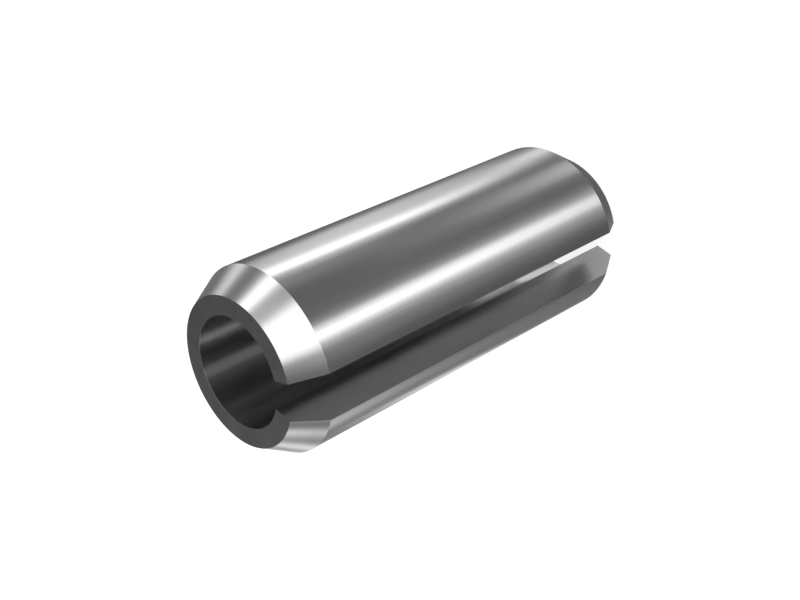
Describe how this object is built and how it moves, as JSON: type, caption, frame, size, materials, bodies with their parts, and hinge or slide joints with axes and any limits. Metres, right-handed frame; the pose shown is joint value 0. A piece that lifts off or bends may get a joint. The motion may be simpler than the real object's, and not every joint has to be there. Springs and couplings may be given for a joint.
{
  "type": "spring roll pin",
  "caption": "Slotted spring pin: a strip of spring steel rolled into an open C tube, with a conical lead-in at each end, pressed into a hole to hold parts together.",
  "frame": {"origin": "on the pin's axis, in the plane of the lower end face that it stands on", "axes": "+Z runs along the pin from the lower end face to the upper one. The slot faces the front, which is -Y. The two ends are alike."},
  "size_m": [0.0128, 0.0126, 0.032],
  "materials": {
    "spring_steel": "plain hardened spring steel, tumbled to a satin sheen, no plating"
  },
  "bodies": {
    "root": {"roll_pin": "spring_steel"}
  },
  "joints": []
}
